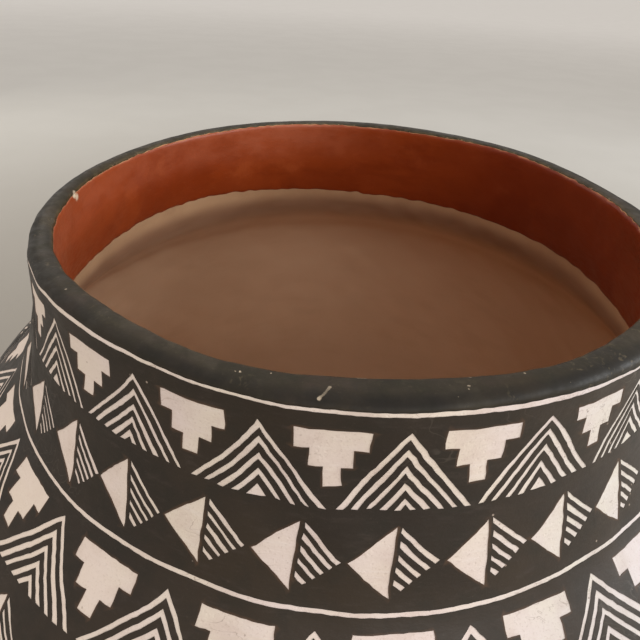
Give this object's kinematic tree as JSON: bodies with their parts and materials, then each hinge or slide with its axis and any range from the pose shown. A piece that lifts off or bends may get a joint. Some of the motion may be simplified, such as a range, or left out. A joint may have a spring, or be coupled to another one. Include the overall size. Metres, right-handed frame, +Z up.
{
  "type": "pottery jar",
  "caption": "Large wide-mouthed round-bodied pottery jar with a short neck, rounded lip, painted outside, red-slipped neck inside and a shallow hollow foot.",
  "frame": {"origin": "centre of the foot, on the surface that the jar stands on", "axes": "+Z up along the axis of the jar; the jar is round, so +X and +Y are any two directions at right angles"},
  "size_m": [0.37, 0.37, 0.31],
  "materials": {
    "fired_clay": "bare matte brown fired clay, slightly gritty",
    "cream_slip": "matte cream slip, faintly pink and yellow in places, fine speckle",
    "dark_paint": "near-black brown mineral paint, low satin sheen",
    "red_slip": "burnished red-orange slip, mottled, satin"
  },
  "bodies": {
    "root": {"clay_body": "fired_clay", "cream_slip_coat": "cream_slip", "lip_paint_band": "dark_paint", "neck_paint_band": "dark_paint", "shoulder_paint_band": "dark_paint", "belly_paint_band": "dark_paint", "lower_paint_band": "dark_paint", "underbody_slip_coat": "red_slip", "neck_slip_band": "red_slip"}
  },
  "joints": []
}
